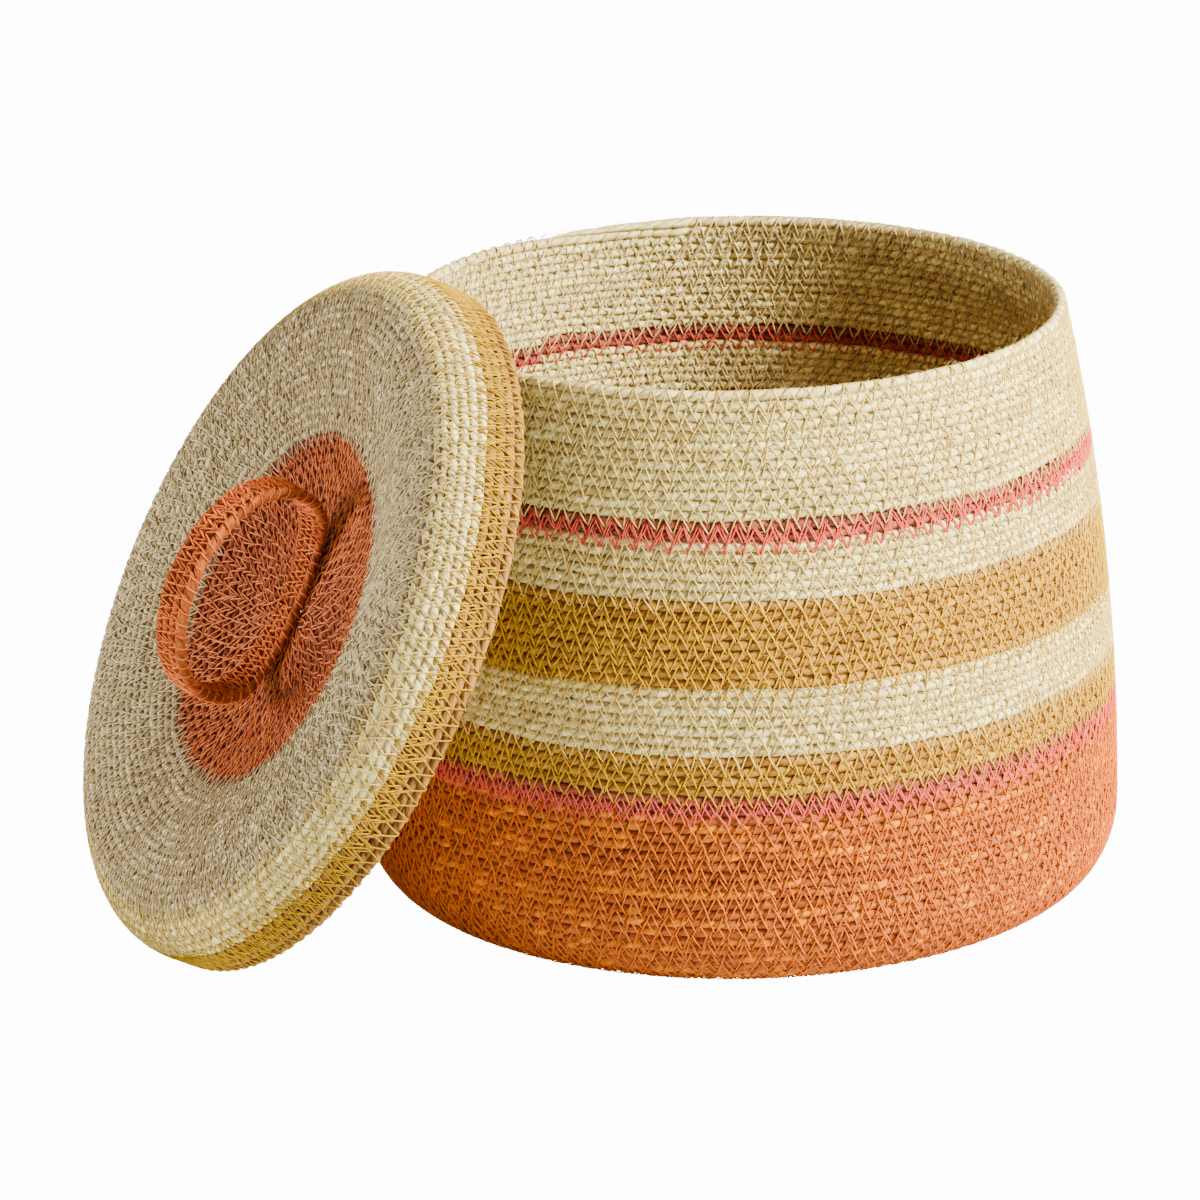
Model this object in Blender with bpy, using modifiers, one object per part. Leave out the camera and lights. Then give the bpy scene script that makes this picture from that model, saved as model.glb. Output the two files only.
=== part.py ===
"""Lidded basket of coiled seagrass cord, with the lid taken off and leaning on the rim.

The wall is one line of cord laid in rows and sewn row to row, in bands of dyed colour.
Each band is a turned ring that follows the basket's outer line, and the lid is turned the
same way in its own frame: Z points out of its face and Z = 0 is its open rim.
"""
import math

import bmesh
import bpy
import numpy as np

# Cord and seams: a row's height, the wall's thickness and the groove between two rows
ROW = 0.004
WALL = 0.0046
GROOVE_DEPTH = 0.0009
SEAM = 0.0003
SMOOTH_ANGLE = math.radians(50)

# Basket: outer sizes
HEIGHT = 0.247
RIM_RADIUS = 0.1385
BELLY_RADIUS = 0.1617
CORNER_HEIGHT = 0.029
CORNER_WIDTH = 0.019

# Basket: rows of cord in each band, from the rim down; the orange band takes what is left
CREAM_RIM_ROWS = 13
PINK_UPPER_ROWS = 2
CREAM_MIDDLE_ROWS = 6
OCHRE_WIDE_ROWS = 9
CREAM_LOWER_ROWS = 7
OCHRE_NARROW_ROWS = 4
PINK_LOWER_ROWS = 2

# Lid: outer sizes
LID_RADIUS = 0.149
LID_HEIGHT = 0.035
LID_SHOULDER = 0.0205
LID_OCHRE_DEPTH = 0.0174
LID_CENTRE_RADIUS = 0.0765
LID_DISH_DEPTH = 0.0202
LID_DISH_RADIUS = 0.1285

# Handle: a strap of cord rows closed into a loop, sewn down across the lid's centre
HANDLE_ROWS = 4
HANDLE_HALF_LENGTH = 0.045
HANDLE_TOP_HEIGHT = 0.0342
HANDLE_BOTTOM_HEIGHT = 0.0295
HANDLE_BOTTOM_POWER = 2.6
HANDLE_SEAT_RADIUS = 0.030
HANDLE_OFFSET = 0.0034
HANDLE_TURN = math.radians(2)
HANDLE_LEAN = math.radians(21)
HANDLE_LEAN_HEIGHT = 0.012
HANDLE_POINTS = 32

# How the lid leans: the top of its open rim stands this much above the basket's rim
LID_OVERHANG = 0.0152
LEAN_GAP = 0.0003

# Colours of the dyed cord, as seen
CREAM = (0.80, 0.73, 0.56)
PINK = (0.76, 0.42, 0.36)
OCHRE = (0.72, 0.57, 0.27)
ORANGE = (0.79, 0.42, 0.20)
CORD_ROUGHNESS = 0.85

# Fineness of the facets
STEPS = 28
INNER_ROWS_PER_POINT = 4
LINE_SAMPLES = 400
EDGE_POINTS = 4
RIM_SAMPLES = 40
REACH_TOLERANCE = 0.00001


class Line:
    """An outer line, measured along its length, with the wall set in from it."""

    def __init__(self, points):
        self.points = np.array(points)
        lengths = np.hypot(*np.diff(self.points, axis=0).T)
        self.lengths = np.concatenate(([0.0], np.cumsum(lengths)))
        self.total = self.lengths[-1]
        tangents = np.gradient(self.points, self.lengths, axis=0)
        tangents /= np.linalg.norm(tangents, axis=1)[:, None]
        self.normals = np.column_stack((-tangents[:, 1], tangents[:, 0]))

    def at(self, length, depth=0.0):
        """Return the radius and height at a length along the line, set in by a depth."""
        place = [np.interp(length, self.lengths, self.points[:, axis]) for axis in (0, 1)]
        normal = [np.interp(length, self.lengths, self.normals[:, axis]) for axis in (0, 1)]
        return tuple(p - depth * n for p, n in zip(place, normal))


def basket_line():
    """Return the basket's outer line from the rim down to the floor."""
    lean = 2 * math.atan2(BELLY_RADIUS - RIM_RADIUS, HEIGHT - CORNER_HEIGHT)
    radius = (HEIGHT - CORNER_HEIGHT) / math.sin(lean)
    centre = BELLY_RADIUS - radius
    wall = [
        (centre + radius * math.cos(angle), CORNER_HEIGHT + radius * math.sin(angle))
        for angle in np.linspace(lean, 0, LINE_SAMPLES)
    ]
    corner = [
        (
            BELLY_RADIUS - CORNER_WIDTH * (1 - math.cos(angle)),
            CORNER_HEIGHT * (1 - math.sin(angle)),
        )
        for angle in np.linspace(0, math.pi / 2, LINE_SAMPLES)[1:]
    ]
    return Line(wall + corner)


def lid_dish(radius):
    """Return how deep the lid's face is dished at a radius."""
    share = (radius - HANDLE_SEAT_RADIUS) / (LID_DISH_RADIUS - HANDLE_SEAT_RADIUS)
    share = min(max(share, 0.0), 1.0)
    return LID_DISH_DEPTH * (1 + math.cos(math.pi * share)) / 2


def lid_line():
    """Return the lid's outer line from the middle of its face to its open rim."""
    edge = LID_RADIUS - LID_SHOULDER
    face = [(radius, LID_HEIGHT - lid_dish(radius)) for radius in np.linspace(0, edge, LINE_SAMPLES)]
    shoulder = [
        (
            edge + LID_SHOULDER * math.sin(angle),
            LID_HEIGHT - LID_SHOULDER * (1 - math.cos(angle)),
        )
        for angle in np.linspace(0, math.pi / 2, LINE_SAMPLES)[1:]
    ]
    skirt = [(LID_RADIUS, height) for height in np.linspace(LID_HEIGHT - LID_SHOULDER, 0, LINE_SAMPLES)[1:]]
    return Line(face + shoulder + skirt)


def edge_point(line, length, along, depth):
    """Return a point square to the line at a length: moved along it and set in by a depth."""
    place = np.array(line.at(length))
    normal = np.array(line.at(length, -1.0)) - place
    tangent = np.array((normal[1], -normal[0]))
    return tuple(place + along * tangent - depth * normal)


def row_points(line, start, end):
    """Return the outer side of a band: a crest on each row, and a groove between two rows."""
    rows = max(1, round((end - start) / ROW))
    marks = np.linspace(start, end, 2 * rows + 1)[1:-1]
    return [line.at(mark, GROOVE_DEPTH * (index % 2)) for index, mark in enumerate(marks)]


def inner_points(line, start, end):
    """Return the plainer inner side of a band, from its start to its end."""
    count = max(1, round((end - start) / (ROW * INNER_ROWS_PER_POINT)))
    marks = np.linspace(start, end, count + 1)[1:-1]
    return [line.at(mark, WALL) for mark in marks]


def round_edge(line, end, direction):
    """Return the points of a wall's rounded edge, from its outer to its inner side."""
    radius = WALL / 2
    return [
        edge_point(
            line,
            end - direction * radius,
            direction * radius * math.sin(turn),
            radius * (1 - math.cos(turn)),
        )
        for turn in np.linspace(0, math.pi, EDGE_POINTS + 1)
    ]


def seam_edge(line, end, direction):
    """Return the outer and inner point of an edge that meets another band at a seam."""
    return [edge_point(line, end, -direction * SEAM / 2, depth) for depth in (GROOVE_DEPTH, WALL)]


def band_profile(line, start, end, start_edge=seam_edge, end_edge=seam_edge):
    """Return a band's closed section: down its outer side and back up its inner side.

    A rounded edge is the crest of its own row.
    """
    outer = row_points(line, start, end)
    if start_edge is round_edge:
        outer = outer[1:]
    if end_edge is round_edge:
        outer = outer[:-1]
    inner = inner_points(line, start, end)
    return outer + end_edge(line, end, 1) + inner[::-1] + start_edge(line, start, -1)[::-1]


def disc_profile(line, end):
    """Return the section of a disc from the axis out to a length along the line."""
    outer = [line.at(0)] + row_points(line, 0, end)
    inner = [line.at(0, WALL)] + inner_points(line, 0, end)
    return outer + seam_edge(line, end, 1) + inner[::-1]


def as_linear(colour):
    """Return a colour as seen, in the linear values that a shader takes."""
    return [((c + 0.055) / 1.055) ** 2.4 if c > 0.04045 else c / 12.92 for c in colour]


def add_material(target, name, colour):
    """Give an object its own dyed-cord material."""
    material = bpy.data.materials.new(name)
    material.use_nodes = True
    shader = material.node_tree.nodes["Principled BSDF"]
    shader.inputs["Base Color"].default_value = (*as_linear(colour), 1)
    shader.inputs["Roughness"].default_value = CORD_ROUGHNESS
    shader.inputs["Metallic"].default_value = 0
    target.data.materials.append(material)


def add_object(name, data, collection, colour=None, parent=None):
    """Link a new object, with its parent and its material."""
    made = bpy.data.objects.new(name, data)
    collection.objects.link(made)
    made.parent = parent
    if colour:
        add_material(made, name, colour)
    return made


def turned(name, profile, collection, colour, parent=None, closed=True):
    """Turn a section about Z into a ring, or into a disc where it starts on the axis."""
    mesh = bpy.data.meshes.new(name)
    build = bmesh.new()
    corners = [build.verts.new((radius, 0, height)) for radius, height in profile]
    for first, second in zip(corners, corners[1:]):
        build.edges.new((first, second))
    if closed:
        build.edges.new((corners[-1], corners[0]))
    build.to_mesh(mesh)
    build.free()
    made = add_object(name, mesh, collection, colour, parent)
    screw = made.modifiers.new("Turn", "SCREW")
    screw.angle = math.tau
    screw.steps = STEPS
    screw.render_steps = STEPS
    screw.use_merge_vertices = True
    screw.merge_threshold = 0.00001
    screw.use_smooth_shade = True
    return made


def build_basket(collection):
    """Build the basket's wall, band by band, and its base."""
    line = basket_line()
    bands = (
        ("cream_rim_band", CREAM_RIM_ROWS, CREAM),
        ("pink_upper_stripe", PINK_UPPER_ROWS, PINK),
        ("cream_middle_band", CREAM_MIDDLE_ROWS, CREAM),
        ("ochre_wide_band", OCHRE_WIDE_ROWS, OCHRE),
        ("cream_lower_band", CREAM_LOWER_ROWS, CREAM),
        ("ochre_narrow_band", OCHRE_NARROW_ROWS, OCHRE),
        ("pink_lower_stripe", PINK_LOWER_ROWS, PINK),
    )
    start = 0
    for name, rows, colour in bands:
        end = start + rows * ROW
        start_edge = seam_edge if start else round_edge
        turned(name, band_profile(line, start, end, start_edge), collection, colour)
        start = end
    turned("orange_lower_band", band_profile(line, start, line.total), collection, ORANGE)

    mesh = bpy.data.meshes.new("base_coil")
    build = bmesh.new()
    radius = line.at(line.total)[0] - SEAM / 2
    bmesh.ops.create_cone(
        build, cap_ends=True, segments=STEPS, radius1=radius, radius2=radius, depth=WALL
    )
    bmesh.ops.translate(build, verts=build.verts, vec=(0, 0, WALL / 2))
    build.to_mesh(mesh)
    build.free()
    mesh.shade_smooth()
    mesh.set_sharp_from_angle(angle=SMOOTH_ANGLE)
    add_object("base_coil", mesh, collection, ORANGE)


def rim_circle(radius, height):
    """Return points along the facets of a turned edge."""
    turns = np.linspace(0, math.tau, STEPS + 1)
    corners = np.column_stack((radius * np.cos(turns), radius * np.sin(turns)))
    shares = np.linspace(0, 1, RIM_SAMPLES, endpoint=False)[:, None]
    runs = [a + (b - a) * shares for a, b in zip(corners, corners[1:])]
    places = np.concatenate(runs)
    return np.column_stack((places, np.full(len(places), height)))


def lid_place():
    """Return where the middle of the leaning lid's open rim lies, and how far it is tipped up.

    The lid's lowest edge is on the floor, and its rounded rim rests on the basket's.
    """
    tip = math.asin((HEIGHT + LID_OVERHANG) / (2 * LID_RADIUS))
    sine, cosine = math.sin(tip), math.cos(tip)
    line = lid_line()
    height = max(radius * sine - up * cosine for radius, up in round_edge(line, line.total, 1))
    basket_rim = rim_circle(*basket_line().at(WALL / 2, WALL / 2))
    across, along, up = rim_circle(LID_RADIUS - WALL / 2, WALL / 2).T
    leaning = np.column_stack((across, along * cosine - up * sine, height + along * sine + up * cosine))

    reach = RIM_RADIUS + LID_RADIUS
    step = WALL / 2
    while step > REACH_TOLERANCE:
        moved = leaning - (0, reach - step, 0)
        gaps = np.linalg.norm(moved[:, None] - basket_rim[None], axis=2)
        if gaps.min() < WALL + LEAN_GAP:
            step /= 2
        else:
            reach -= step
    return (0, -reach, height), tip


def build_lid(collection):
    """Build the lid's face and skirt in the lid's own frame, and lean it on the basket."""
    seat = add_object("lid_seat", None, collection)
    place, tip = lid_place()
    seat.location = place
    seat.rotation_euler = (tip, 0, 0)

    line = lid_line()
    centre_end = np.interp(LID_CENTRE_RADIUS, line.points[:LINE_SAMPLES, 0], line.lengths[:LINE_SAMPLES])
    ochre_start = line.total - LID_OCHRE_DEPTH
    turned("lid_orange_centre", disc_profile(line, centre_end), collection, ORANGE, seat, closed=False)
    turned("lid_cream_top", band_profile(line, centre_end, ochre_start), collection, CREAM, seat)
    skirt = band_profile(line, ochre_start, line.total, end_edge=round_edge)
    turned("lid_ochre_skirt", skirt, collection, OCHRE, seat)
    return seat


def loop_point(turn):
    """Return a point of the handle's loop: round at the top, flatter where it is sewn."""
    across = math.cos(turn)
    up = math.sin(turn)
    if up >= 0:
        return HANDLE_HALF_LENGTH * across, HANDLE_TOP_HEIGHT * up
    power = 2 / HANDLE_BOTTOM_POWER
    return (
        HANDLE_HALF_LENGTH * math.copysign(abs(across) ** power, across),
        -HANDLE_BOTTOM_HEIGHT * abs(up) ** power,
    )


def strap_section():
    """Return the outline of the strap: its rows side by side, a crest on each."""
    half_width = HANDLE_ROWS * ROW / 2
    marks = np.linspace(half_width, -half_width, 2 * HANDLE_ROWS + 1)[1:-1]
    face = [(WALL / 2 - GROOVE_DEPTH * (index % 2), mark) for index, mark in enumerate(marks)]
    side = [(0, half_width)] + face
    return side + [(-depth, -across) for depth, across in side]


def add_closed_curve(name, points, collection):
    """Add a closed flat curve through points."""
    curve = bpy.data.curves.new(name, "CURVE")
    curve.dimensions = "2D"
    curve.fill_mode = "NONE"
    spline = curve.splines.new("POLY")
    spline.points.add(len(points) - 1)
    for point, (first, second) in zip(spline.points, points):
        point.co = (first, second, 0, 1)
    spline.use_cyclic_u = True
    return add_object(name, curve, collection)


def build_handle(collection, seat):
    """Sweep the strap round its loop, lean it over and stand it on the lid."""
    turns = np.linspace(0, math.tau, HANDLE_POINTS, endpoint=False)
    path = add_closed_curve("handle_path", [loop_point(turn) for turn in turns], collection)
    section = add_closed_curve("handle_section", strap_section(), collection)
    path.data.bevel_mode = "OBJECT"
    path.data.bevel_object = section
    graph = bpy.context.evaluated_depsgraph_get()
    mesh = bpy.data.meshes.new_from_object(path.evaluated_get(graph))
    for used in (path, section):
        bpy.data.objects.remove(used)

    lowest = min(vertex.co.y for vertex in mesh.vertices)
    for vertex in mesh.vertices:
        along, height, across = vertex.co.x, vertex.co.y - lowest, vertex.co.z
        share = min(height / HANDLE_LEAN_HEIGHT, 1.0)
        lean = HANDLE_LEAN * share * share * (3 - 2 * share)
        vertex.co = (
            across * math.cos(lean) + height * math.sin(lean),
            along,
            height * math.cos(lean) - across * math.sin(lean),
        )
    mesh.name = "handle_loop"
    mesh.shade_smooth()
    mesh.set_sharp_from_angle(angle=SMOOTH_ANGLE)
    handle = add_object("handle_loop", mesh, collection, ORANGE, seat)
    handle.location = (
        -HANDLE_OFFSET * math.sin(HANDLE_TURN),
        HANDLE_OFFSET * math.cos(HANDLE_TURN),
        LID_HEIGHT - LID_DISH_DEPTH + SEAM,
    )
    handle.rotation_euler = (0, 0, HANDLE_TURN)


def main():
    """Clear the scene and build the basket and its lid."""
    for old in list(bpy.data.objects):
        bpy.data.objects.remove(old)
    collection = bpy.data.collections.new("coiled_basket_box")
    bpy.context.scene.collection.children.link(collection)
    build_basket(collection)
    seat = build_lid(collection)
    build_handle(collection, seat)
    bpy.context.view_layer.update()


main()
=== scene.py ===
"""Lidded basket of coiled seagrass: every row of twisted cord and every zigzag stitch is a tube.

The wall, the base and the lid are sheets of rows. A place on a sheet is a row number counted from
the open rim, and an angle round the axis. Rows of cord wind along the sheet in one line, and the
sewing thread runs in a zigzag over each seam, on both faces.
"""

import math

import bpy
import numpy as np
from mathutils import Matrix, Vector


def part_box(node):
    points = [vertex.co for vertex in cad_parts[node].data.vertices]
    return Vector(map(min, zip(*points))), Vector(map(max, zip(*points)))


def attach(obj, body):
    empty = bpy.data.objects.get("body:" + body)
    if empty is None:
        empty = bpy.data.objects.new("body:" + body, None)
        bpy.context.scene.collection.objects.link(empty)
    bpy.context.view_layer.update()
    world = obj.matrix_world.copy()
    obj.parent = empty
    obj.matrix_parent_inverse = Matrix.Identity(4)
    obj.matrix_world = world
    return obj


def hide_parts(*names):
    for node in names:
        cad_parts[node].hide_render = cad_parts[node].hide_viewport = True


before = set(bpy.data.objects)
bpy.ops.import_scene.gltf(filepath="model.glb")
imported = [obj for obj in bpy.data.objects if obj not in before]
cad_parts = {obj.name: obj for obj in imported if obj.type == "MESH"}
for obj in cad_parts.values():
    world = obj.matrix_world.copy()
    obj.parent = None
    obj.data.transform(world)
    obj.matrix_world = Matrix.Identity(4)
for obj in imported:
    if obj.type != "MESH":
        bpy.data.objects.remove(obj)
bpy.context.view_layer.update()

# Cord and basket, as in the solids
ROW = 0.004
WALL = 0.0046
GROOVE_DEPTH = 0.0009
SEAM = 0.0003
HEIGHT = 0.247
RIM_RADIUS = 0.1385
BELLY_RADIUS = 0.1617
CORNER_HEIGHT = 0.029
CORNER_WIDTH = 0.019
FIRST_ORANGE_ROW = 43

# Lid, as in the solids
LID_RADIUS = 0.149
LID_HEIGHT = 0.035
LID_SHOULDER = 0.0205
LID_OCHRE_ROWS = 4
LID_OCHRE_DEPTH = 0.0174
LID_CENTRE_RADIUS = 0.0765
LID_DISH_DEPTH = 0.0202
LID_DISH_RADIUS = 0.1285
LID_OVERHANG = 0.0152
LID_TIP = math.asin((HEIGHT + LID_OVERHANG) / (2 * LID_RADIUS))

# Handle, as in the solids
HANDLE_ROWS = 4
HANDLE_HALF_LENGTH = 0.045
HANDLE_TOP_HEIGHT = 0.0342
HANDLE_BOTTOM_HEIGHT = 0.0295
HANDLE_BOTTOM_POWER = 2.6
HANDLE_SEAT_RADIUS = 0.030
HANDLE_SEAT_GAP = 0.0003
HANDLE_OFFSET = 0.0034
HANDLE_TURN = math.radians(2)
HANDLE_LEAN = math.radians(21)
HANDLE_LEAN_HEIGHT = 0.012

# Points of the outlines, and the straight piece added above an open rim
WALL_POINTS = 400
CORNER_POINTS = 200
FLOOR_POINTS = 300
LID_FACE_POINTS = 400
SHOULDER_POINTS = 100
SKIRT_POINTS = 60
HANDLE_POINTS = 4000
TABLE_POINTS = 6000
SPARE_LENGTH = 0.01
SPARE_ROWS = 2

# Twisted cord: half sizes across its row and through the wall, and the length of one full twist
CORD_HALF_ROW = 0.00212
CORD_HALF_WALL = 0.00236
CORD_POWER = 2.2
TWIST = 0.0140
TWIST_PULL = 0.6
FIBRE_SLANT = math.radians(20)

# The ring of points round a cord: two strands of five points, with a groove point after each
CORD_ANGLES = np.radians([-76, -38, 0, 38, 76, 90, 104, 142, 180, 218, 256, 270])
CORD_RADII = np.array([0.89, 1.0, 1.03, 1.0, 0.89, 0.62, 0.89, 1.0, 1.03, 1.0, 0.89, 0.62])
# Painted shade on each point of the ring: full in the grooves between the strands, a little beside them
GROOVE_PAINTED_SHADE = np.array([0.2, 0.0, 0.0, 0.0, 0.2, 1.0, 0.2, 0.0, 0.0, 0.0, 0.2, 1.0])
CORD_SIDES = len(CORD_ANGLES)
STRANDS = (slice(0, 5), slice(6, 11))
GROOVES = (5, 11)

# Where a cord meets the next row: how far it reaches, and the sine of its angle where that begins
CORD_REACH_LIMIT = 1.08
CORD_TOUCH = 1.12
TOUCH_FROM = 0.88
TOUCH_SPAN = 0.07
# Painted shade where a cord meets the next row: how dark, and the sine of its angle where that begins
# and over which it grows
PAINTED_SEAM_SHADE = 0.85
SHADE_FROM = 0.7
SHADE_SPAN = 0.22

# Unevenness along a cord: size and spacing
TWIST_DRIFT = (1.3, 0.022)
CORD_SWELL = (0.06, 0.008)
CORD_LUMPS = (0.03, 0.0025)
STRAND_SWELL = (0.13, 0.005)
CORD_SWAY_ACROSS = (0.00016, 0.012)
CORD_SWAY_OUT = (0.00014, 0.010)
TONE_RUN = (0.7, 0.05)
NOISE_SIZE = 0.6
NOISE_SPARE = 6
HOLD_SHARE = 0.7
CHANGE_SHARE = 0.3

# Winding: spacing of the rings, the step down to the next row, and the tapered end at the rim
CORD_SPACING = 0.0010
BASE_SPACING = 0.0014
HANDLE_SPACING = 0.0009
SAMPLES_PER_TURN = 64
FEWEST_SAMPLES = 8
SMALLEST_RADIUS = 0.002
STEP_SHARE = 0.07
END_TAPER = 0.06
END_SIZE = 0.1
END_DROP = 0.45
END_FACING = -math.pi / 4
END_FACING_TURNS = 0.03

# Sewing thread
THREAD_RADIUS = 0.00032
THREAD_SIDES = 5
NORMAL_STEP = 0.001
STITCH = 0.0072
FACE_STITCH = 0.0058
HANDLE_STITCH = 0.0050
STITCH_REACH = 0.95
STITCH_OFFSET = 0.27
STITCH_SHIFT = 0.25
RIM_TIP = -0.07
RIM_START = 0.075
FACE_JITTER = 2.0
FEWEST_STITCHES = 5
LAST_SEAM = 1.6
LAST_CORD = 0.6

# How the zigzag differs from an even one: spreads and slow waves, in stitches and in rows
SEAM_MIDDLE = 1.25
SEAM_SPARE = 0.3
SHIFT_SPREAD = 0.09
SHIFT_SPREAD_EVEN = 0.2
SHIFT_WAVE = 0.12
SHIFT_WAVE_RATE = 0.9
TIP_SPREAD = 0.06
TIP_DRIFT = (0.22, 9.0)
REACH_SPREAD = 0.09
REACH_DRIFT = (0.10, 14.0)
FIRST_TIP_ROW = 0.12
LAST_TIP_SPARE = 0.05
LEAN_SPAN = 0.12
LEAN_SINK = 0.65
# Painted light and shade on the thread's legs: those slanting one way lighter, the other way darker,
# more so for saw-like zigzags
LEAN_PAINTED_LIGHT = 0.25
LEG_PAINTED_LIGHT = 0.15
TONE_SPREAD = 0.4
DEPTH_SPREAD = 0.00005

# A stitch's leg: places along it, how deep the thread lies there, and the thread's sides
RIM_LEG = (
    (0.0, 0.05, 0.12, 0.2, 0.5, 0.8, 0.88, 0.95),
    (0.0006, 0.0, -0.0001, -0.00016, -0.0002, -0.00016, -0.0001, 0.0),
    5,
)
INSIDE_LEG = ((0.0, 0.3, 0.7), (0.0005, -0.00008, -0.00008), 4)
OUTSIDE_LEG = ((0.0, 0.2, 0.5, 0.8), (0.0006, -0.0001, -0.00018, -0.0001), 5)
HANDLE_LEG = ((0.0, 0.2, 0.5, 0.8), (0.0006, -0.00014, -0.00020, -0.00014), 5)

# The handle's whipping and stitches
WHIP_PITCH = 0.0048
WHIP_POINTS = 12
WHIP_DRIFT = (1.2, 0.012)
WHIP_TONE_SPACING = 0.004
WHIP_STAND = 0.00018
WHIP_ROW = 1.5
HANDLE_END = 0.001
HANDLE_TIP_SPREAD = 0.0005
HANDLE_REACH_SPREAD = 0.0004
HANDLE_TONE_SPREAD = 0.5
HANDLE_EDGE_ROWS = 0.25
TANGENT_STEP = 0.0008

# Loose fibres
FIBRE_RADIUS = 0.00006
FIBRE_POINTS = 5
FIBRE_SIDES = 3
FIBRE_TAPER = 0.6
FIBRE_LENGTH = 0.004
LONG_FIBRE = 0.009
FIBRE_LENGTHS = (0.35, 1.0)
FIBRE_SLOPE = 0.4
FIBRE_LIFT = (0.05, 0.35)
FIBRE_BEND = 0.25
SIDEWAYS = (0.3, 0.5, 0.81)
ALL_ROUND = (0.0, 1.0)
RIM_END = (0.0, 0.03)

# Slow waves in the rows: waves round the axis, drift from row to row, and size in rows
ROW_WANDER = ((3, 0.31, 0.10), (7, -0.47, 0.06), (16, 0.83, 0.045), (29, -1.1, 0.03))
WANDER_RIM_ROWS = 3
WANDER_LAST_ROWS = 6

# Seeds of the random draws
SEEDS = {
    "basket_cord": 100,
    "basket_rim": 290,
    "basket_thread": 300,
    "basket_thread_again": 320,
    "basket_fibres": 360,
    "lid_cord": 500,
    "lid_rim": 590,
    "lid_thread_again": 591,
    "lid_thread": 600,
    "lid_fibres": 660,
    "handle_cord": 700,
    "handle_thread": 720,
    "handle_whip": 740,
}

PIECE_FACES = 88000
TINY = 1e-12
SMALL = 1e-9


def as_linear(colour):
    """Return a colour as seen, in linear values."""
    return tuple(((c + 0.055) / 1.055) ** 2.4 if c > 0.04045 else c / 12.92 for c in colour)


# Sheets of rows


def running_length(line):
    """Return the length from a flat line's start to each of its points."""
    return np.concatenate(([0.0], np.cumsum(np.hypot(*np.diff(line, axis=0).T))))


def basket_outline():
    """Return the outer line from the rim down to the middle of the base, and where its floor begins."""
    lean = 2 * math.atan2(BELLY_RADIUS - RIM_RADIUS, HEIGHT - CORNER_HEIGHT)
    radius = (HEIGHT - CORNER_HEIGHT) / math.sin(lean)
    turns = np.linspace(lean, 0, WALL_POINTS)
    wall = np.column_stack(
        (BELLY_RADIUS - radius + radius * np.cos(turns), CORNER_HEIGHT + radius * np.sin(turns))
    )
    turns = np.linspace(0, math.pi / 2, CORNER_POINTS)[1:]
    corner = np.column_stack(
        (
            BELLY_RADIUS - CORNER_WIDTH * (1 - np.cos(turns)),
            CORNER_HEIGHT * (1 - np.sin(turns)),
        )
    )
    radii = np.linspace(corner[-1, 0], 0, FLOOR_POINTS)[1:]
    floor = np.column_stack((radii, np.zeros(len(radii))))
    return np.concatenate((wall, corner, floor)), len(wall) + len(corner)


def lid_outline():
    """Return the lid's outer line from its open rim to the middle of its face."""
    edge = LID_RADIUS - LID_SHOULDER
    radii = np.linspace(0, edge, LID_FACE_POINTS)
    share = np.clip((radii - HANDLE_SEAT_RADIUS) / (LID_DISH_RADIUS - HANDLE_SEAT_RADIUS), 0, 1)
    face = np.column_stack((radii, LID_HEIGHT - LID_DISH_DEPTH * (1 + np.cos(np.pi * share)) / 2))
    turns = np.linspace(0, math.pi / 2, SHOULDER_POINTS)[1:]
    shoulder = np.column_stack(
        (edge + LID_SHOULDER * np.sin(turns), LID_HEIGHT - LID_SHOULDER * (1 - np.cos(turns)))
    )
    heights = np.linspace(LID_HEIGHT - LID_SHOULDER, 0, SKIRT_POINTS)[1:]
    skirt = np.column_stack((np.full(len(heights), LID_RADIUS), heights))
    return np.concatenate((face, shoulder, skirt))[::-1]


class Sheet:
    """A turned sheet of rows. Row numbers count from the open rim along its outer line.

    Its knots are pairs of a row number and its place along the line. side says on which side of the
    line the outside lies, and sense which way round the cord is wound.
    """

    def __init__(self, outline, knots, side, sense):
        upward = (outline[0] - outline[1]) / np.linalg.norm(outline[0] - outline[1])
        line = np.concatenate(((outline[0] + upward * SPARE_LENGTH)[None], outline))
        lengths = running_length(line) - SPARE_LENGTH
        tangents = np.gradient(line, lengths, axis=0)
        tangents /= np.linalg.norm(tangents, axis=1)[:, None]
        self.knot_rows, places = np.array(knots(lengths)).T
        self.rows = self.knot_rows[-1]
        self.table_rows = np.linspace(self.knot_rows[0], self.rows, TABLE_POINTS)
        at = np.interp(self.table_rows, self.knot_rows, places)
        normals = side * np.column_stack((-tangents[:, 1], tangents[:, 0]))
        columns = (*line.T, *normals.T, *tangents.T)
        self.table = np.column_stack([np.interp(at, lengths, column) for column in columns])
        self.sense = sense

    def at(self, rows, turns, depth=0.0):
        """Return points, outward normals and tangents away from the rim for row numbers and angles.

        The rows wander a little from their even places, most in the middle of the sheet.
        """
        free = np.clip(rows / WANDER_RIM_ROWS, 0, 1)
        free = free * np.clip((self.rows - rows) / WANDER_LAST_ROWS, 0, 1)
        wander = sum(
            size * np.sin(waves * turns + drift * rows + waves * waves)
            for waves, drift, size in ROW_WANDER
        )
        rows = rows + free * wander
        r, z, nr, nz, sr, sz = (np.interp(rows, self.table_rows, c) for c in self.table.T)
        cosine, sine = np.cos(turns), np.sin(turns)
        normal = np.column_stack((nr * cosine, nr * sine, nz))
        down = np.column_stack((sr * cosine, sr * sine, sz))
        surface = np.column_stack((r * cosine, r * sine, z))
        return surface - np.asarray(depth).reshape(-1, 1) * normal, normal, down

    def radius(self, rows):
        """Return the distance from the axis to the outer line at row numbers."""
        return np.interp(rows, self.table_rows, self.table[:, 0])


def ease(share):
    """Return half a row's step, fast at first and slow at its end."""
    return 0.5 * np.sin(0.5 * np.pi * share)


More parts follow.
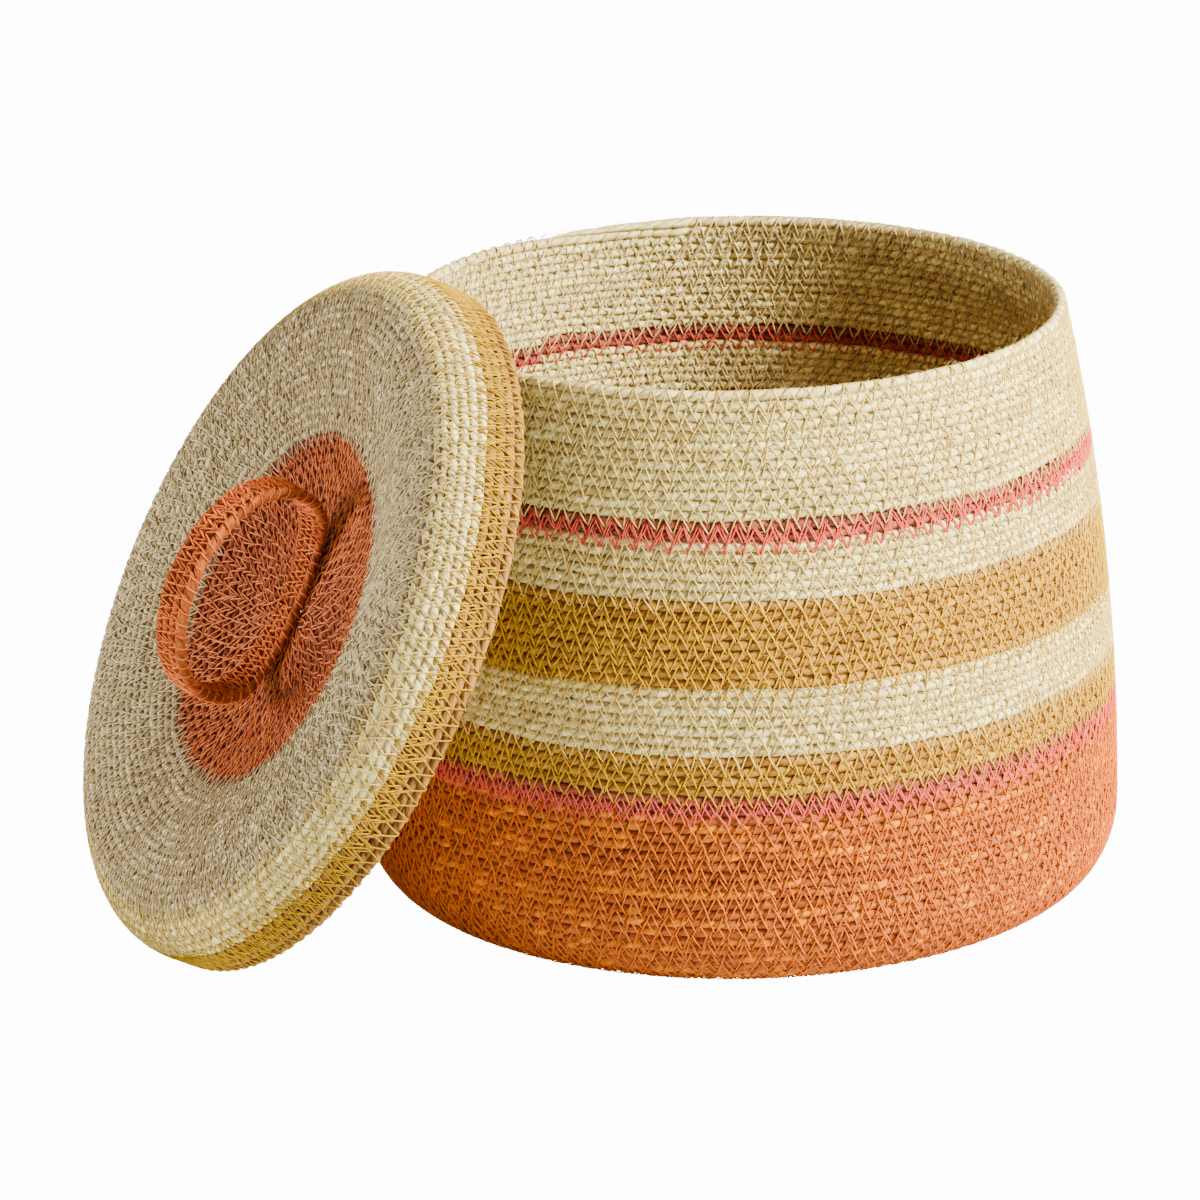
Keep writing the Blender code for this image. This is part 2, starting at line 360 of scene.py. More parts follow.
def wound(turn):
    """Return the row number of the cord's middle after so many turns from its end at the rim.

    Each turn stays level for most of the way round and steps down to the next where it began.
    """
    whole = np.floor(turn)
    part = turn - whole
    first = np.clip(part / STEP_SHARE, 0, 1)
    last = np.clip((part - 1 + STEP_SHARE) / STEP_SHARE, 0, 1)
    return whole + ease(first) + 0.5 - ease(1 - last)


# Meshes


def add_mesh(name, points, faces, material, attributes=()):
    """Make an object of quads from arrays, with float or vector values on its points."""
    mesh = bpy.data.meshes.new(name)
    mesh.vertices.add(len(points))
    mesh.vertices.foreach_set("co", np.ascontiguousarray(points, np.float32).ravel())
    mesh.loops.add(faces.size)
    mesh.loops.foreach_set("vertex_index", np.ascontiguousarray(faces, np.int32).ravel())
    mesh.polygons.add(len(faces))
    mesh.polygons.foreach_set("loop_start", np.arange(0, faces.size, 4, dtype=np.int32))
    mesh.update(calc_edges=True)
    mesh.validate()
    mesh.shade_smooth()
    for label, values in attributes:
        kind, key = ("FLOAT_VECTOR", "vector") if values.ndim == 2 else ("FLOAT", "value")
        field = mesh.attributes.new(label, kind, "POINT")
        field.data.foreach_set(key, values.astype(np.float32).ravel())
    mesh.materials.append(material)
    made = bpy.data.objects.new(name, mesh)
    bpy.context.scene.collection.objects.link(made)
    return made


def tube_faces(rings, sides, closed):
    """Return the quads of a tube, as indices into its rings of points."""
    ring = np.arange(rings if closed else rings - 1)[:, None]
    side = np.arange(sides)[None]
    after = (ring + 1) % rings
    beside = (side + 1) % sides
    return np.stack(
        (
            ring * sides + side,
            ring * sides + beside,
            after * sides + beside,
            after * sides + side,
        ),
        axis=-1,
    ).reshape(-1, 4)


def noise_marks(along, spacing, rng):
    """Return random values, and for each place the mark before it and the share of the way past it."""
    values = rng.normal(0, NOISE_SIZE, int(np.ptp(along) / spacing) + NOISE_SPARE)
    place = (along - along.min()) / spacing + 1
    whole = np.floor(place).astype(int)
    return values, whole, place - whole


def slow_noise(along, spacing, rng):
    """Return smooth random values, near -1 to 1, along a length."""
    values, whole, part = noise_marks(along, spacing, rng)
    part = part * part * (3 - 2 * part)
    return values[whole] * (1 - part) + values[whole + 1] * part


def step_noise(along, spacing, rng):
    """Return random values that hold for a stretch and then change quickly."""
    values, whole, part = noise_marks(along, spacing, rng)
    part = np.clip((part - HOLD_SHARE) / CHANGE_SHARE, 0, 1)
    return values[whole] * (1 - part) + values[whole + 1] * part


def waver(along, setting, rng):
    """Return slow noise whose size and spacing are given as a pair."""
    size, spacing = setting
    return size * slow_noise(along, spacing, rng)


def by_strand(values, groove, shape):
    """Spread the values of two strands over a cord's rings, with another value at its grooves."""
    spread = np.empty(shape)
    for columns, value in zip(STRANDS, values):
        spread[:, columns] = value[:, None]
    for column in GROOVES:
        spread[:, column] = groove
    return spread


def cord_arrays(centre, normal, across, along, size, rng, facing):
    """Return the points and values of a two-strand twisted cord round a line.

    The stitches squeeze the cord, so that each strand crosses steeply where the cord faces out.
    """
    twist = math.tau * along / TWIST + waver(along, TWIST_DRIFT, rng)
    twist = twist - 0.5 * TWIST_PULL * np.sin(2 * (twist - facing))
    angle = twist[:, None] + CORD_ANGLES[None]
    bulge = 1 + waver(along, CORD_SWELL, rng) + waver(along, CORD_LUMPS, rng)
    lobe = by_strand([1 + waver(along, STRAND_SWELL, rng) for _ in STRANDS], 1.0, angle.shape)
    cosine, sine = np.cos(angle), np.sin(angle)
    square = (np.abs(cosine) ** CORD_POWER + np.abs(sine) ** CORD_POWER) ** (-1 / CORD_POWER)
    radius = (size * bulge)[:, None] * CORD_RADII[None] * lobe * square
    radius = np.minimum(radius, CORD_REACH_LIMIT * square)
    touch = np.clip((np.abs(sine) - TOUCH_FROM) / TOUCH_SPAN, 0, 1)
    radius = np.maximum(radius, CORD_TOUCH * size[:, None] * touch)
    out = (radius * cosine * CORD_HALF_WALL)[..., None] * normal[:, None]
    out = out + (radius * sine * CORD_HALF_ROW)[..., None] * across[:, None]
    wander = waver(along, CORD_SWAY_ACROSS, rng)[:, None] * across
    wander = wander + waver(along, CORD_SWAY_OUT, rng)[:, None] * normal
    points = (centre + wander)[:, None] + out

    run = waver(along, TONE_RUN, rng)
    tones = [step_noise(along, TWIST, rng) + run for _ in STRANDS]
    tone = by_strand(tones, (tones[0] + tones[1]) / 2, angle.shape)
    fibre = angle - math.tan(FIBRE_SLANT) / CORD_HALF_ROW * along[:, None]
    strand = np.stack(
        (
            np.broadcast_to(along[:, None], angle.shape),
            CORD_HALF_ROW * np.cos(fibre),
            CORD_HALF_ROW * np.sin(fibre),
        ),
        axis=-1,
    )
    # Painted shade: darker in the grooves between the strands and where the cord meets the next row
    painted_seam_shade = PAINTED_SEAM_SHADE * np.clip((np.abs(sine) - SHADE_FROM) / SHADE_SPAN, 0, 1)
    return points, tone, strand, np.maximum(GROOVE_PAINTED_SHADE[None], painted_seam_shade)


def add_cord(
    name, centre, normal, across, along, size, material, seed, closed=False, after=None, facing=0.0
):
    """Make one length of twisted cord. after moves its points to where they are placed."""
    rng = np.random.default_rng(seed)
    points, tone, strand, painted_groove_shade = cord_arrays(centre, normal, across, along, size, rng, facing)
    points = points.reshape(-1, 3)
    if after is not None:
        points = after(points)
    faces = tube_faces(len(centre), CORD_SIDES, closed)
    values = (
        ("tone", tone.reshape(-1)),
        ("strand", strand.reshape(-1, 3)),
        ("painted_groove_shade", painted_groove_shade.reshape(-1)),
    )
    return add_mesh(name, points, faces, material, values)


def thread_arrays(centre, normal, sides):
    """Return rings of points round a thread's middle line."""
    along = np.gradient(centre, axis=0)
    along /= np.linalg.norm(along, axis=1)[:, None] + TINY
    beside = np.cross(along, normal)
    beside /= np.linalg.norm(beside, axis=1)[:, None] + TINY
    out = np.cross(beside, along)
    turns = np.arange(sides) / sides * math.tau
    cosine, sine = np.cos(turns)[None, :, None], np.sin(turns)[None, :, None]
    return centre[:, None] + THREAD_RADIUS * (cosine * out[:, None] + sine * beside[:, None])


def add_thread(name, centre, normal, tone, material, sides=THREAD_SIDES, after=None):
    """Make one length of sewing thread. after moves its points to where they are placed."""
    if after is not None:
        tips = after(centre + normal * NORMAL_STEP)
        centre = after(centre)
        normal = tips - centre
        normal /= np.linalg.norm(normal, axis=1)[:, None]
    points = thread_arrays(centre, normal, sides)
    faces = tube_faces(len(centre), sides, False)
    steps = np.concatenate(([0.0], np.cumsum(np.linalg.norm(np.diff(centre, axis=0), axis=1))))
    values = (
        ("tone", np.repeat(tone, sides)),
        ("along", np.repeat(steps, sides)),
    )
    return add_mesh(name, points.reshape(-1, 3), faces, material, values)


# Materials


def new_material(name):
    """Return a new material, its node tree and its shader."""
    material = bpy.data.materials.new(name)
    material.use_nodes = True
    tree = material.node_tree
    return material, tree, tree.nodes["Principled BSDF"]


def node(tree, kind, **settings):
    """Add a node. A setting whose name begins with in_ is the value of an input."""
    made = tree.nodes.new(kind)
    for label, value in settings.items():
        if label.startswith("in_"):
            made.inputs[label[3:].replace("_", " ")].default_value = value
        else:
            setattr(made, label, value)
    return made


def mix(tree, factor, first, second):
    """Mix two colours, given as sockets or as colours."""
    made = node(tree, "ShaderNodeMix", data_type="RGBA")
    for socket, value in ((made.inputs[0], factor), (made.inputs[6], first), (made.inputs[7], second)):
        if isinstance(value, bpy.types.NodeSocket):
            tree.links.new(value, socket)
        elif isinstance(value, tuple):
            socket.default_value = (*value, 1)
        else:
            socket.default_value = value
    return made.outputs[2]


def span(tree, value, low, high, out_low=0.0, out_high=1.0):
    """Map a value between two limits onto two others."""
    made = node(tree, "ShaderNodeMapRange")
    for index, number in zip((1, 2, 3, 4), (low, high, out_low, out_high)):
        made.inputs[index].default_value = number
    tree.links.new(value, made.inputs[0])
    return made.outputs[0]


def add_bump(tree, shader, height, strength, distance):
    """Let a height roughen the surface."""
    bump = node(tree, "ShaderNodeBump", in_Strength=strength, in_Distance=distance)
    tree.links.new(height, bump.inputs["Height"])
    tree.links.new(bump.outputs[0], shader.inputs["Normal"])


STRAND_STRETCH = (60, 900, 900)
CORD_GLOSS = 0.05
CORD_BUMP = (0.8, 0.0004)
ACCENT_LIMITS = (1.15, 1.3)
MIDDLE_MIX = 0.35
# Painted shade in the cord's grooves: how far towards it, and its tint from the dark colour
PAINTED_GROOVE_MIX = 0.62
PAINTED_GROOVE_TINT = 0.52
PAINTED_GROOVE_LIFT = 0.006
THREAD_PLY = 0.0009
PAINTED_PLY_SHADE = 0.55
THREAD_ROUGHNESS = 0.65
THREAD_GLOSS = 0.08
THREAD_BUMP = (0.5, 0.0001)


def cord_material(name, dark, middle, light, accent=None, accent_share=0.0, gloss=CORD_GLOSS):
    """Twisted plant fibre: streaks along its strands, a tone for each stretch of a strand, and painted
    shade in its grooves.
    """
    material, tree, shader = new_material(name)
    dark, middle, light = (as_linear(c) for c in (dark, middle, light))
    strand = node(tree, "ShaderNodeAttribute", attribute_name="strand")
    tone = node(tree, "ShaderNodeAttribute", attribute_name="tone").outputs["Fac"]
    painted_groove_shade = node(tree, "ShaderNodeAttribute", attribute_name="painted_groove_shade").outputs["Fac"]
    stretch = node(tree, "ShaderNodeVectorMath", operation="MULTIPLY")
    stretch.inputs[1].default_value = STRAND_STRETCH
    tree.links.new(strand.outputs["Vector"], stretch.inputs[0])
    fine = node(tree, "ShaderNodeTexNoise", in_Scale=2.6, in_Detail=3.0, in_Roughness=0.62)
    tree.links.new(stretch.outputs[0], fine.inputs["Vector"])
    broad = node(tree, "ShaderNodeTexNoise", in_Scale=0.75, in_Detail=2.0, in_Roughness=0.5)
    tree.links.new(stretch.outputs[0], broad.inputs["Vector"])

    streak = span(tree, fine.outputs[0], 0.40, 0.62)
    patch = span(tree, broad.outputs[0], 0.38, 0.60)
    colour = mix(tree, span(tree, tone, -1.2, 1.2), dark, light)
    colour = mix(tree, MIDDLE_MIX, colour, middle)
    if accent:
        low, high = (limit - accent_share for limit in ACCENT_LIMITS)
        colour = mix(tree, span(tree, tone, low, high), colour, as_linear(accent))
    colour = mix(tree, span(tree, streak, 0, 1, 0.0, 0.5), colour, light)
    colour = mix(tree, span(tree, patch, 0, 1, 0.5, 0.0), colour, dark)
    # Painted shade: the grooves between strands and rows are darkened towards a deep tint of the dark
    # colour
    groove = span(tree, painted_groove_shade, 0.25, 1.0, 0.0, PAINTED_GROOVE_MIX)
    colour = mix(tree, groove, colour, tuple(PAINTED_GROOVE_TINT * c + PAINTED_GROOVE_LIFT for c in dark))
    tree.links.new(colour, shader.inputs["Base Color"])
    tree.links.new(span(tree, streak, 0, 1, 0.75, 0.52), shader.inputs["Roughness"])
    shader.inputs["Specular IOR Level"].default_value = gloss
    add_bump(tree, shader, fine.outputs[0], *CORD_BUMP)
    return material


def thread_material(name, base, light):
    """Sewing thread with a fine twist, and painted shade where its plies meet."""
    material, tree, shader = new_material(name)
    base, light = as_linear(base), as_linear(light)
    tone = node(tree, "ShaderNodeAttribute", attribute_name="tone")
    along = node(tree, "ShaderNodeAttribute", attribute_name="along")
    ply = node(tree, "ShaderNodeMath", operation="MULTIPLY")
    ply.inputs[1].default_value = math.tau / THREAD_PLY
    tree.links.new(along.outputs["Fac"], ply.inputs[0])
    wave = node(tree, "ShaderNodeMath", operation="SINE")
    tree.links.new(ply.outputs[0], wave.inputs[0])
    colour = mix(tree, span(tree, tone.outputs["Fac"], -1.0, 1.0), base, light)
    # Painted shade: darker along the twist where the plies meet
    painted_ply_shade = tuple(PAINTED_PLY_SHADE * c for c in base)
    colour = mix(tree, span(tree, wave.outputs[0], -1, 1, 0.22, 0.0), colour, painted_ply_shade)
    tree.links.new(colour, shader.inputs["Base Color"])
    shader.inputs["Roughness"].default_value = THREAD_ROUGHNESS
    shader.inputs["Specular IOR Level"].default_value = THREAD_GLOSS
    add_bump(tree, shader, wave.outputs[0], *THREAD_BUMP)
    return material


# Colours as seen: dark, middle and light for a cord, base and light for a thread
CORD_SHADES = {
    "cream": ((0.60, 0.45, 0.23), (0.86, 0.79, 0.43), (0.98, 0.96, 0.66)),
    "pink": ((0.29, 0.12, 0.10), (0.40, 0.175, 0.14), (0.71, 0.37, 0.28)),
    "ochre": ((0.41, 0.23, 0.12), (0.55, 0.35, 0.05), (0.78, 0.59, 0.20)),
    "orange": ((0.40, 0.17, 0.10), (0.60, 0.265, 0.08), (0.76, 0.43, 0.15)),
    "disc": ((0.27, 0.095, 0.08), (0.44, 0.185, 0.13), (0.68, 0.36, 0.21)),
    "handle": ((0.35, 0.13, 0.07), (0.56, 0.235, 0.08), (0.80, 0.42, 0.17)),
    # Painted shade: the lid's cream is a darker, greyer copy of the cream, for the lid's face
    "lid_cream": ((0.42, 0.32, 0.175), (0.72, 0.62, 0.40), (0.92, 0.86, 0.66)),
    # Painted shade: the lid's ochre is a darker copy of the ochre, for the lid's skirt
    "lid_ochre": ((0.30, 0.16, 0.08), (0.45, 0.27, 0.07), (0.74, 0.56, 0.26)),
}
CORD_EXTRAS = {
    "cream": {"gloss": 0.15},
    "orange": {"accent": (0.87, 0.50, 0.0), "accent_share": 0.60},
}
THREAD_SHADES = {
    "cream": ((0.72, 0.58, 0.26), (0.88, 0.77, 0.40)),
    "cream_inside": ((0.75, 0.63, 0.38), (0.91, 0.82, 0.54)),
    "pink": ((0.71, 0.21, 0.15), (0.86, 0.37, 0.27)),
    "ochre": ((0.68, 0.49, 0.0), (0.79, 0.63, 0.0)),
    "orange": ((0.71, 0.31, 0.0), (0.83, 0.43, 0.0)),
    "disc": ((0.73, 0.335, 0.185), (0.89, 0.51, 0.23)),
    "handle": ((0.76, 0.325, 0.13), (0.91, 0.48, 0.21)),
    # Painted shade: the lid's cream thread is a darker, greyer copy of the cream thread
    "lid_cream": ((0.60, 0.49, 0.31), (0.87, 0.78, 0.58)),
    # Painted shade: the lid's ochre thread is a darker copy of the ochre thread
    "lid_ochre": ((0.59, 0.43, 0.0), (0.69, 0.54, 0.0)),
}
CORDS = {
    name: cord_material(name + "_cord", *shades, **CORD_EXTRAS.get(name, {}))
    for name, shades in CORD_SHADES.items()
}
THREADS = {name: thread_material(name + "_thread", *shades) for name, shades in THREAD_SHADES.items()}


# The basket and the lid


def finish_piece(piece, body, colour, nodes=()):
    """Fix a piece to its body and hide the solids that it stands for, if any. colour is not used."""
    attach(piece, body)
    if nodes:
        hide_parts(*nodes)


def pieces_of(name, rings, sides):
    """Yield a number, a name and a slice for each piece of a long tube, so that none is too large."""
    pieces = max(1, math.ceil(rings * sides / PIECE_FACES))
    cuts = np.linspace(0, rings - 1, pieces + 1).astype(int)
    for index, (low, high) in enumerate(zip(cuts, cuts[1:])):
        label = f"{name}_{index + 1}" if pieces > 1 else name
        yield index, label, slice(low, high + 1)


def wind_band(sheet, name, band, colour, start, body, nodes, spacing, seed, after=None):
    """Lay a band's cord from one turn to another. Its end at the rim is tapered."""
    first, last = band
    dense = np.linspace(first, last, max(FEWEST_SAMPLES, int((last - first) * SAMPLES_PER_TURN)))
    radii = np.maximum(sheet.radius(wound(dense)), SMALLEST_RADIUS)
    steps = np.diff(dense) * math.tau * (radii[1:] + radii[:-1]) / 2
    length = np.concatenate(([0.0], np.cumsum(steps)))
    rings = int(length[-1] / spacing) + 2
    places = np.linspace(0, length[-1], rings)
    turns = np.interp(places, length, dense)
    for index, label, part in pieces_of(name, rings, CORD_SIDES):
        turn, along = turns[part], places[part]
        rows = wound(turn)
        size = np.ones(len(turn))
        if first == 0:
            size = np.clip(np.sqrt(np.clip(along / END_TAPER, 0, 1)), END_SIZE, 1)
            rows = rows + END_DROP * (1 - size)
        facing = END_FACING * np.clip((1 - turn) / END_FACING_TURNS, 0, 1)
        centre, normal, down = sheet.at(rows, start + sheet.sense * math.tau * turn, WALL / 2)
        piece = add_cord(
            label, centre, normal, down, along, size, CORDS[colour], seed + index,
            after=after, facing=facing,
        )
        finish_piece(piece, body, colour, nodes)


def lean_of(slant):
    """Return how much a zigzag's slanting legs stand out: 1 for a saw's teeth, 0 for even ones."""
    return min(max((0.5 - slant) / LEAN_SPAN, 0.0), 1.0)


def stitch_line(sheet, first, last, rng, slant, pitch, jitter):
    """Return the row numbers and turns of the zigzag's tips for a run of seams, and which are odd."""
    marks = np.arange(math.floor(first), math.ceil(last) + 1)
    radii = sheet.radius(np.clip(marks + SEAM_MIDDLE, 0, sheet.rows - SEAM_SPARE))
    counts = np.maximum(FEWEST_STITCHES, np.round(math.tau * radii / pitch))
    uneven = SHIFT_SPREAD + SHIFT_SPREAD_EVEN * (1 - lean_of(slant))
    shift = STITCH_SHIFT + SHIFT_WAVE * np.sin(marks * SHIFT_WAVE_RATE)
    shift = shift + rng.normal(0, uneven, len(marks))
    phase = np.concatenate(([0.0], np.cumsum(counts + shift)))
    ends = np.concatenate((marks, [marks[-1] + 1]))
    begin, end = np.interp((first, last), ends, phase)
    tips = np.arange(math.ceil(begin * 2), math.floor(end * 2) + 1)
    odd = tips % 2
    at = tips / 2 + odd * (slant - 0.5)
    at = at + jitter * rng.normal(0, TIP_SPREAD, len(at)) + waver(at, TIP_DRIFT, rng)
    at = np.maximum.accumulate(at)
    turn = np.interp(at, phase, ends)
    spread = jitter * (rng.normal(0, REACH_SPREAD, len(at)) + waver(at, REACH_DRIFT, rng))
    reach = STITCH_REACH * (2 * odd - 1) + spread
    row = wound(turn) + 0.5 + STITCH_OFFSET + reach
    row = np.clip(row, FIRST_TIP_ROW, sheet.rows - LAST_TIP_SPARE)
    if last <= 1:
        row = np.where(odd == 0, RIM_TIP, row)
    return row, turn, odd


def on_legs(tips, shares):
    """Return values at places along each leg between two tips."""
    return (tips[:-1, None] + np.diff(tips)[:, None] * shares).reshape(-1)


def sew_band(sheet, name, band, colour, start, body, seed, inner, slant, pitch=STITCH, after=None):
    """Sew the seams below a band's rows. The stitches of the first turn go over the rim."""
    rng = np.random.default_rng(seed)
    jitter = FACE_JITTER if pitch == FACE_STITCH else 1.0
    row, turn, odd = stitch_line(sheet, *band, rng, slant, pitch, jitter)
    over_rim = band[1] <= 1
    if over_rim:
        shares, sunk, sides = RIM_LEG
    else:
        shares, sunk, sides = INSIDE_LEG if inner else OUTSIDE_LEG
    shares, sunk = np.array(shares), np.array(sunk)
    lean = lean_of(slant)
    rows, turns = on_legs(row, shares), on_legs(turn, shares)
    lying = np.where(odd[:-1] == 1, 1.0, 1 - LEAN_SINK * lean)
    level = np.where(shares[None] > 0, sunk[None] * lying[:, None], sunk[None])
    level = (level + rng.normal(0, DEPTH_SPREAD, level.shape)).reshape(-1)
    if over_rim:
        away = np.clip((0.5 - rows) * ROW / CORD_HALF_ROW, 0, 1)
        level = level + WALL / 2 * (1 - (1 - away**CORD_POWER) ** (1 / CORD_POWER))
    # Painted light and shade: legs slanting one way are lighter and the other way darker; the spread
    # added after is random tone
    tone = (LEG_PAINTED_LIGHT + LEAN_PAINTED_LIGHT * lean) * (2 * odd[:-1] - 1)
    tone = tone + rng.normal(0, TONE_SPREAD, len(row) - 1)
    tone = np.repeat(np.clip(tone, -1, 1), len(shares))
    depth = WALL - level if inner else level
    points, normal, _ = sheet.at(rows, start + sheet.sense * math.tau * turns, depth)
    if inner:
        normal = -normal
    for _, label, part in pieces_of(name, len(points), sides):
        piece = add_thread(
            label, points[part], normal[part], tone[part], THREADS[colour], sides, after=after
        )
        finish_piece(piece, body, colour)


def fray(
    sheet, name, count, band, part, colour, start, body, seed,
    depth=0.0, length=FIBRE_LENGTH, after=None,
):
    """Leave short loose fibres on a band's rows, all in one mesh of thin open tubes."""
    rng = np.random.default_rng(seed)
    angle = start + sheet.sense * math.tau * rng.uniform(*part, count)
    root, normal, down = sheet.at(rng.uniform(*band, count), angle, depth)
    beside = np.cross(normal, down) * rng.choice((-1.0, 1.0), (count, 1))
    out = normal if depth == 0 else -down
    way = beside + rng.normal(0, FIBRE_SLOPE, (count, 1)) * down
    way = way + rng.uniform(*FIBRE_LIFT, (count, 1)) * out
    bend = rng.normal(0, FIBRE_BEND, (count, 3)) - FIBRE_BEND * out
    reach = length * rng.uniform(*FIBRE_LENGTHS, (count, 1))
    share = np.linspace(0, 1, FIBRE_POINTS)[None, :, None]
    lines = root[:, None] + reach[:, None] * (way[:, None] * share + bend[:, None] * share**2)
    if after is not None:
        lines = after(lines.reshape(-1, 3)).reshape(lines.shape)
    along = np.gradient(lines, axis=1)
    along /= np.linalg.norm(along, axis=2, keepdims=True)
    side = np.cross(along, SIDEWAYS)
    side /= np.linalg.norm(side, axis=2, keepdims=True) + SMALL
    turns = (np.arange(FIBRE_SIDES) / FIBRE_SIDES * math.tau)[None, None, :, None]
    ring = np.cos(turns) * side[:, :, None] + np.sin(turns) * np.cross(along, side)[:, :, None]
    points = lines[:, :, None] + FIBRE_RADIUS * (1 - FIBRE_TAPER * share[..., None]) * ring
    firsts = FIBRE_POINTS * FIBRE_SIDES * np.arange(count)
    faces = tube_faces(FIBRE_POINTS, FIBRE_SIDES, False)[None] + firsts[:, None, None]
    piece = add_mesh(name, points.reshape(-1, 3), faces.reshape(-1, 4), CORDS[colour])
    finish_piece(piece, body, colour)


BASKET_LINE, FLOOR_START = basket_outline()


def basket_knots(lengths):
    """Return pairs of a row number and its place along the outer line."""
    wall_end = lengths[FLOOR_START]
    wall_rows = round(wall_end / ROW)
    floor_rows = round((lengths[-1] - wall_end) / ROW)
    return [
        (-SPARE_ROWS, -SPARE_ROWS * ROW),
        (FIRST_ORANGE_ROW, FIRST_ORANGE_ROW * ROW),
        (wall_rows, wall_end),
        (wall_rows + floor_rows, lengths[-1]),
    ]


basket = Sheet(BASKET_LINE, basket_knots, 1, -1)
base_row = int(basket.knot_rows[2])

# Bands: name, first and last row, colour, the solid that it stands for, and the stitches' slant
BASKET_START = math.radians(192)
RIM_SLANT = 0.38
BASKET_BANDS = (
    ("cream_rim", (0, 13), "cream", "cream_rim_band", RIM_SLANT),
    ("pink_upper", (13, 15), "pink", "pink_upper_stripe", 0.46),
    ("cream_middle", (15, 21), "cream", "cream_middle_band", 0.40),
    ("ochre_wide", (21, 30), "ochre", "ochre_wide_band", 0.47),
    ("cream_lower", (30, 37), "cream", "cream_lower_band", 0.42),
    ("ochre_narrow", (37, 41), "ochre", "ochre_narrow_band", 0.48),
    ("pink_lower", (41, FIRST_ORANGE_ROW), "pink", "pink_lower_stripe", 0.48),
    ("orange_lower", (FIRST_ORANGE_ROW, base_row), "orange", "orange_lower_band", 0.47),
    ("base", (base_row, basket.rows - LAST_CORD), "orange", "base_coil", 0.47),
)

# Loose fibres: name, count, rows, part of the way round, depth and length
BASKET_FIBRES = (
    ("rim_fibres", 420, (-0.04, 0.1), ALL_ROUND, WALL / 2, FIBRE_LENGTH),
    ("rim_end_fibres", 60, (-0.02, 1.0), RIM_END, WALL / 2, LONG_FIBRE),
    ("wall_fibres", 900, (1, 42), ALL_ROUND, 0.0, FIBRE_LENGTH),
)


def make_basket():
    """Wind and sew the basket's bands, then its rim, and leave loose fibres."""
    place = (BASKET_START, "basket")
    for index, (name, band, colour, cad_node, slant) in enumerate(BASKET_BANDS):
        spacing = BASE_SPACING if name == "base" else CORD_SPACING
        seed = SEEDS["basket_cord"] + 10 * index
        wind_band(basket, name + "_cord", band, colour, *place, (cad_node,), spacing, seed)
        sewn = (max(band[0], 1), min(band[1], basket.rows - LAST_SEAM))
        inside = "cream_inside" if colour == "cream" else colour
        seed = SEEDS["basket_thread"] + index
        for inner, label, thread in ((False, "_thread", colour), (True, "_thread_inside", inside)):
            sew_band(basket, name + label, sewn, thread, *place, seed, inner, slant)
        if colour == "pink":
            seed = SEEDS["basket_thread_again"] + index
            sew_band(basket, name + "_thread_again", sewn, colour, *place, seed, False, slant)
    rim, seed = (RIM_START, 1), SEEDS["basket_rim"]
    sew_band(basket, "rim_thread", rim, "cream", *place, seed, False, RIM_SLANT)
    sew_band(basket, "rim_thread_inside", rim, "cream_inside", *place, seed, True, RIM_SLANT)
    for index, (name, count, rows, part, depth, length) in enumerate(BASKET_FIBRES):
        seed = SEEDS["basket_fibres"] + index
        fray(basket, name, count, rows, part, "cream", *place, seed, depth, length)


def lid_placing():
    """Return where the lid leans: its rounded rim on the floor, and its skirt where its solid is."""
    sine, cosine = math.sin(LID_TIP), math.cos(LID_TIP)
    turns = np.linspace(0, math.pi, 5)
    radii = LID_RADIUS - WALL / 2 * (1 - np.cos(turns))
    heights = WALL / 2 * (1 - np.sin(turns))
    low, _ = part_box("lid_ochre_skirt")
    back = (LID_RADIUS - GROOVE_DEPTH) * cosine + (LID_OCHRE_DEPTH - SEAM / 2) * sine
    placing = Matrix.Rotation(LID_TIP, 4, "X")
    placing.translation = Vector((0, low[1] + back, max(radii * sine - heights * cosine)))
    return placing


lid_matrix = lid_placing()


def onto_lid(points):
    """Move points from the lid's own frame to where it leans."""
    turn = np.array(lid_matrix.to_3x3())
    return points @ turn.T + np.array(lid_matrix.translation)


LID_LINE = lid_outline()


def lid_knots(lengths):
    """Return pairs of a row number and its place along the outer line."""
    total = lengths[-1]
    centre = np.interp(-LID_CENTRE_RADIUS, -LID_LINE[:, 0], running_length(LID_LINE))
    cream_rows = round((centre - LID_OCHRE_DEPTH) / ROW)
    orange_rows = round((total - centre) / ROW)
    return [
        (-SPARE_ROWS, -SPARE_ROWS * LID_OCHRE_DEPTH / LID_OCHRE_ROWS),
        (LID_OCHRE_ROWS, LID_OCHRE_DEPTH),
        (LID_OCHRE_ROWS + cream_rows, centre),
        (LID_OCHRE_ROWS + cream_rows + orange_rows, total),
    ]


lid = Sheet(LID_LINE, lid_knots, -1, 1)
disc_row = int(lid.knot_rows[2])

# Bands, with the length of a stitch as well
LID_START = math.radians(165)
LID_RIM_SLANT = 0.62
LID_BANDS = (
    # Painted shade: the skirt's rows take the darker copy of the ochre
    ("lid_ochre", (0, LID_OCHRE_ROWS), "lid_ochre", "lid_ochre_skirt", LID_RIM_SLANT, STITCH),
    ("lid_shoulder", (LID_OCHRE_ROWS, 9), "cream", "lid_cream_top", 0.5, STITCH),
    # Painted shade: the face's rows take the darker copy of the cream
    ("lid_cream", (9, disc_row), "lid_cream", "lid_cream_top", 0.46, FACE_STITCH),
    ("lid_orange", (disc_row, lid.rows - LAST_CORD), "disc", "lid_orange_centre", 0.46, FACE_STITCH),
)

